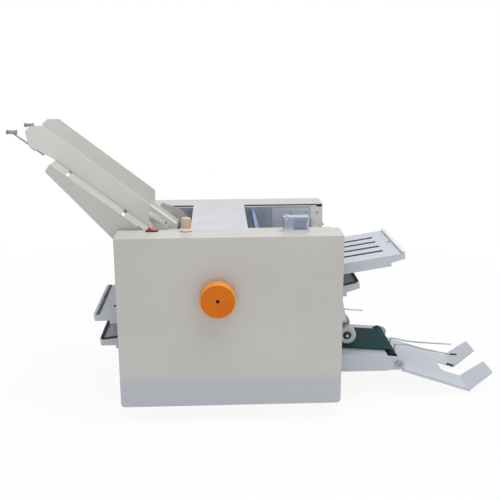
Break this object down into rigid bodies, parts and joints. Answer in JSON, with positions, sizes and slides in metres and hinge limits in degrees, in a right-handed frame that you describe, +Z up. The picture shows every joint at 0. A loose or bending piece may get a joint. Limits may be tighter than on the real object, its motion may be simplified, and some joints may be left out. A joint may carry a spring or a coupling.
{
  "type": "paper folding machine",
  "caption": "Tabletop buckle folder: slanted feed tray with side guides, ivory covers with an orange handwheel, slotted fold plates on both sides, green belt delivery and tilting catch tray.",
  "frame": {"origin": "on the bench under the middle of the casing, at the centre of the four foot holes", "axes": "+X from the feed side to the delivery side, +Y from the operator's side to the far side, +Z up"},
  "size_m": [0.9832, 0.422, 0.5663],
  "materials": {
    "ivory_paint": "satin powder coat, warm ivory",
    "tray_paint": "satin powder coat, cool white",
    "plate_paint": "satin paint, light grey white",
    "frame_steel": "zinc plated steel plate",
    "bright_steel": "brushed stainless sheet",
    "turned_steel": "turned bright bar",
    "screw_zinc": "zinc plated",
    "gear_steel": "oiled machined steel",
    "bronze": "sintered bronze",
    "blue_paint": "blue enamel",
    "orange_plastic": "moulded, slightly glossy",
    "red_plastic": "moulded, glossy",
    "lamp_lens": "translucent amber moulding",
    "clear_plastic": "clear acrylic",
    "counter_blue": "moulded blue grey",
    "button_white": "moulded white",
    "black_plastic": "moulded, matt",
    "black_rubber": "moulded rubber",
    "tan_rubber": "soft separator rubber",
    "grey_rubber": "ground feed rubber",
    "white_rubber": "soft white rubber",
    "green_belt": "rubber faced belting",
    "motor_paint": "dark motor enamel"
  },
  "bodies": {
    "machine": {"near_cover": "ivory_paint", "far_cover": "ivory_paint", "screws": "screw_zinc", "near_frame_plate": "frame_steel", "far_frame_plate": "frame_steel", "base_plate": "frame_steel", "rubber_feet": "black_rubber", "tie_bars": "turned_steel", "blue_cross_bar": "blue_paint", "top_plate": "bright_steel", "frame_bushes": "bronze", "feed_tray": "ivory_paint", "separator_pad": "tan_rubber", "sheet_holder": "bright_steel", "delivery_frame": "tray_paint", "delivery_belt": "green_belt", "switch_housing": "black_plastic", "pilot_lamp_base": "black_plastic", "pilot_lamp_lens": "lamp_lens", "counter_case": "counter_blue", "counter_window": "clear_plastic", "motor": "motor_paint", "power_inlet": "black_plastic", "fold_plate_1": "plate_paint", "fold_plate_2": "plate_paint", "fold_plate_3": "plate_paint", "fold_plate_4": "plate_paint"},
    "roller_1": {"fold_roller_1": "turned_steel", "fold_gear_1": "gear_steel", "handwheel": "orange_plastic"},
    "roller_2": {"fold_roller_2": "turned_steel", "fold_gear_2": "gear_steel"},
    "roller_3": {"fold_roller_3": "turned_steel", "fold_gear_3": "gear_steel"},
    "roller_4": {"fold_roller_4": "turned_steel", "fold_gear_4": "gear_steel"},
    "roller_5": {"fold_roller_5": "turned_steel", "fold_gear_5": "gear_steel"},
    "roller_6": {"fold_roller_6": "turned_steel", "fold_gear_6": "gear_steel"},
    "idler": {"idler_gear": "gear_steel"},
    "feed_drive": {"feed_shaft": "gear_steel", "feed_roller": "grey_rubber"},
    "motor_output": {"motor_gear": "gear_steel"},
    "belt_drive": {"delivery_drive_roller": "gear_steel"},
    "belt_nose": {"delivery_nose_roller": "black_plastic"},
    "press_frame": {"press_arms": "turned_steel"},
    "press_wheel_pair": {"press_wheels": "white_rubber"},
    "near_guide": {"near_paper_guide": "ivory_paint"},
    "far_guide": {"far_paper_guide": "ivory_paint"},
    "near_rod": {"near_guide_rod": "turned_steel"},
    "far_rod": {"far_guide_rod": "turned_steel"},
    "stop_1": {"paper_stop_1": "bright_steel"},
    "stop_2": {"paper_stop_2": "bright_steel"},
    "stop_3": {"paper_stop_3": "bright_steel"},
    "stop_4": {"paper_stop_4": "bright_steel"},
    "catch_tray": {"stack_tray": "tray_paint", "support_wires": "screw_zinc"},
    "switch_rocker": {"rocker": "red_plastic"},
    "reset_button": {"counter_button": "button_white"}
  },
  "joints": [
    {"name": "handwheel_turn", "type": "hinge", "parent": "machine", "child": "roller_1", "pos_m": [-0.0234, 0, 0.2548], "axis": [0, 1, 0], "continuous": true},
    {"name": "fold_roller_2_turn", "type": "hinge", "parent": "machine", "child": "roller_2", "pos_m": [-0.01915, 0, 0.22966], "axis": [0, 1, 0], "continuous": true},
    {"name": "fold_roller_3_turn", "type": "hinge", "parent": "machine", "child": "roller_3", "pos_m": [-0.0149, 0, 0.20451], "axis": [0, 1, 0], "continuous": true},
    {"name": "fold_roller_4_turn", "type": "hinge", "parent": "machine", "child": "roller_4", "pos_m": [-0.01064, 0, 0.17937], "axis": [0, 1, 0], "continuous": true},
    {"name": "fold_roller_5_turn", "type": "hinge", "parent": "machine", "child": "roller_5", "pos_m": [-0.00639, 0, 0.15423], "axis": [0, 1, 0], "continuous": true},
    {"name": "fold_roller_6_turn", "type": "hinge", "parent": "machine", "child": "roller_6", "pos_m": [-0.00214, 0, 0.12909], "axis": [0, 1, 0], "continuous": true},
    {"name": "idler_turn", "type": "hinge", "parent": "machine", "child": "idler", "pos_m": [-0.05028, 0, 0.28995], "axis": [0, 1, 0], "continuous": true},
    {"name": "feed_roller_turn", "type": "hinge", "parent": "machine", "child": "feed_drive", "pos_m": [-0.0849, 0, 0.33523], "axis": [0, 1, 0], "continuous": true},
    {"name": "motor_output_turn", "type": "hinge", "parent": "machine", "child": "motor_output", "pos_m": [-0.01765, 0, 0.08129], "axis": [0, 1, 0], "continuous": true},
    {"name": "belt_drive_turn", "type": "hinge", "parent": "machine", "child": "belt_drive", "pos_m": [0.038, 0, 0.10371], "axis": [0, 1, 0], "continuous": true},
    {"name": "belt_nose_turn", "type": "hinge", "parent": "machine", "child": "belt_nose", "pos_m": [0.341, 0, 0.08055], "axis": [0, 1, 0], "continuous": true},
    {"name": "press_arms_lift", "type": "hinge", "parent": "machine", "child": "press_frame", "pos_m": [0.192, 0, 0.196], "axis": [0, 1, 0], "range_deg": [-30, 0]},
    {"name": "press_wheels_turn", "type": "hinge", "parent": "press_frame", "child": "press_wheel_pair", "pos_m": [0.2493, 0, 0.11755], "axis": [0, 1, 0], "continuous": true},
    {"name": "near_guide_slide", "type": "slide", "parent": "machine", "child": "near_guide", "axis": [0, 1, 0], "range_m": [-0.045, 0.015]},
    {"name": "far_guide_slide", "type": "slide", "parent": "machine", "child": "far_guide", "axis": [0, 1, 0], "range_m": [-0.055, 0.006]},
    {"name": "near_rod_slide", "type": "slide", "parent": "near_guide", "child": "near_rod", "axis": [0.7944, 0, -0.6074], "range_m": [-0.018, 0.015]},
    {"name": "far_rod_slide", "type": "slide", "parent": "far_guide", "child": "far_rod", "axis": [0.7944, 0, -0.6074], "range_m": [-0.018, 0.015]},
    {"name": "paper_stop_1_slide", "type": "slide", "parent": "machine", "child": "stop_1", "axis": [0.9877, 0, 0.1564], "range_m": [-0.105, 0.165]},
    {"name": "paper_stop_2_slide", "type": "slide", "parent": "machine", "child": "stop_2", "axis": [-0.9914, 0, -0.1305], "range_m": [-0.105, 0.055]},
    {"name": "paper_stop_3_slide", "type": "slide", "parent": "machine", "child": "stop_3", "axis": [0.9792, 0, 0.2028], "range_m": [-0.105, 0.08]},
    {"name": "paper_stop_4_slide", "type": "slide", "parent": "machine", "child": "stop_4", "axis": [-0.9914, 0, -0.1305], "range_m": [-0.105, 0.045]},
    {"name": "catch_tray_tilt", "type": "hinge", "parent": "machine", "child": "catch_tray", "pos_m": [0.351, 0, 0.071], "axis": [0, 1, 0], "range_deg": [-15, 0]},
    {"name": "switch_rock", "type": "hinge", "parent": "machine", "child": "switch_rocker", "pos_m": [-0.148, 0, 0.37], "axis": [0, 1, 0], "range_deg": [-14, 0]},
    {"name": "reset_button_press", "type": "slide", "parent": "machine", "child": "reset_button", "axis": [0, 0, 1], "range_m": [-0.002, 0], "stiffness_N_per_m": 200}
  ],
  "couplings": [
    {"joint": "fold_roller_2_turn", "follows": "handwheel_turn", "ratio": -1},
    {"joint": "fold_roller_3_turn", "follows": "handwheel_turn", "ratio": 1},
    {"joint": "fold_roller_4_turn", "follows": "handwheel_turn", "ratio": -1},
    {"joint": "fold_roller_5_turn", "follows": "handwheel_turn", "ratio": 1},
    {"joint": "fold_roller_6_turn", "follows": "handwheel_turn", "ratio": -1},
    {"joint": "idler_turn", "follows": "handwheel_turn", "ratio": -0.40476},
    {"joint": "feed_roller_turn", "follows": "handwheel_turn", "ratio": 0.5},
    {"joint": "motor_output_turn", "follows": "handwheel_turn", "ratio": 0.34},
    {"joint": "belt_drive_turn", "follows": "handwheel_turn", "ratio": -0.56667},
    {"joint": "belt_nose_turn", "follows": "handwheel_turn", "ratio": -0.56667},
    {"joint": "press_wheels_turn", "follows": "handwheel_turn", "ratio": 0.2906}
  ]
}
